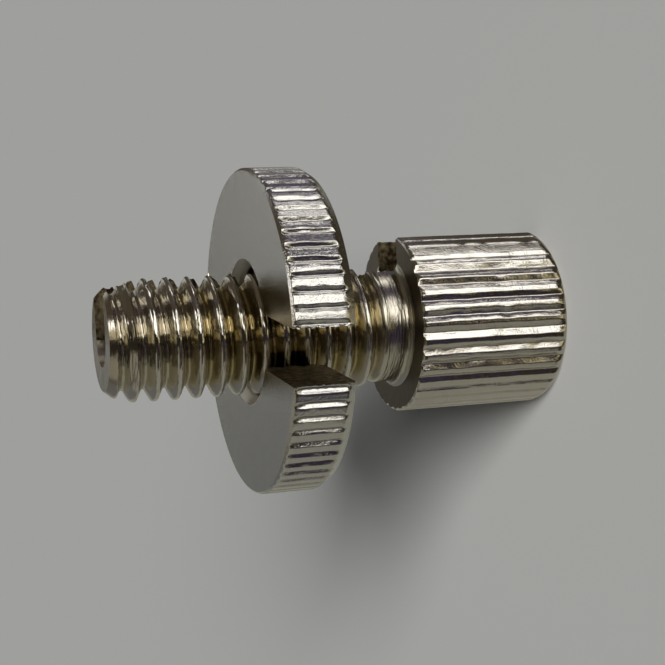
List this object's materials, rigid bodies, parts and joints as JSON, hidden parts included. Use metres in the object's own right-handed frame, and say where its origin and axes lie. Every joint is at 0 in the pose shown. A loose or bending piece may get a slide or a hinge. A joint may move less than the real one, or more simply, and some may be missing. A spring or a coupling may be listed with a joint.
{
  "type": "cable adjuster",
  "caption": "Slotted cable adjuster: a hollow threaded barrel with a knurled head that seats the cable casing, and a slotted knurled lock nut that turns on the thread.",
  "frame": {"origin": "centre of the head's flat outer end, on the surface that the adjuster stands on", "axes": "+Z along the screw's axis from the head to the tip of the barrel, +X out of the slot sawn along the screw"},
  "size_m": [0.0154, 0.0154, 0.0218],
  "materials": {
    "screw_plating": "bright nickel plate over machined steel, thin in the thread",
    "nut_plating": "bright nickel plate over machined steel, faces polished"
  },
  "bodies": {
    "adjuster_screw": {"adjuster_screw": "screw_plating"},
    "lock_nut": {"lock_nut": "nut_plating"}
  },
  "joints": [
    {"name": "lock_nut_turn", "type": "hinge", "parent": "adjuster_screw", "child": "lock_nut", "pos_m": [0, 0, 0.0135], "axis": [0, 0, 1], "continuous": true}
  ]
}
